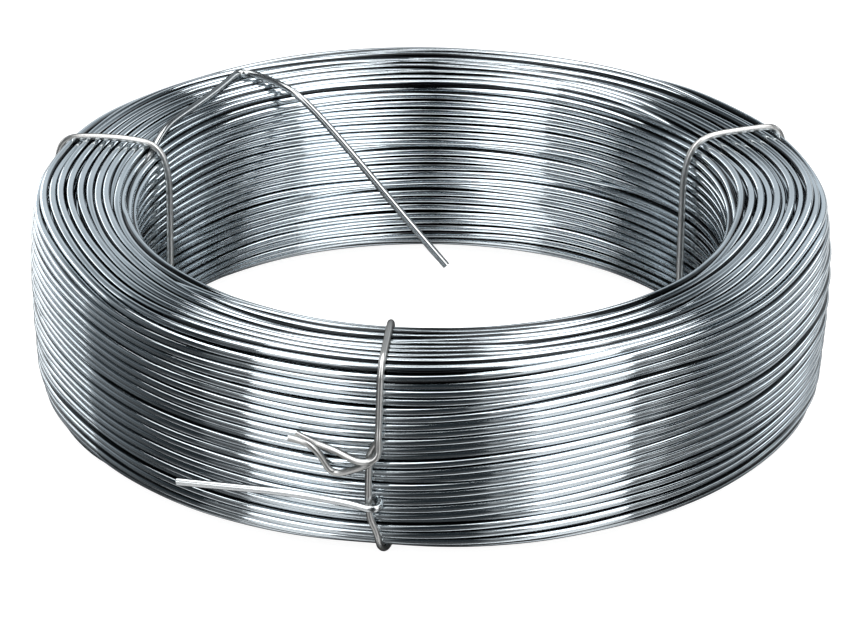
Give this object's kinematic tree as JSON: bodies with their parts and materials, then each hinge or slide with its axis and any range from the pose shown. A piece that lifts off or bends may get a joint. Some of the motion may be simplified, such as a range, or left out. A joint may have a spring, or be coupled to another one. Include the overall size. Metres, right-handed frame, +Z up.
{
  "type": "coil of galvanised steel wire",
  "caption": "Low ring-shaped coil of bright galvanised steel wire lying flat, held by twisted tie wires, with both free ends of the wire showing.",
  "frame": {"origin": "on the coil's axis, at floor level under the tie wires that the coil lies on", "axes": "+Z up along the coil's axis; -Y towards the front tie, round which the outer wire end is hooked"},
  "size_m": [0.2721, 0.2756, 0.0731],
  "materials": {
    "wire": "bright galvanised, drawn",
    "tie": "soft annealed, galvanised"
  },
  "bodies": {
    "root": {"wire_coil": "wire", "tie_wire_front": "tie", "tie_wire_left": "tie", "tie_wire_right": "tie"}
  },
  "joints": []
}
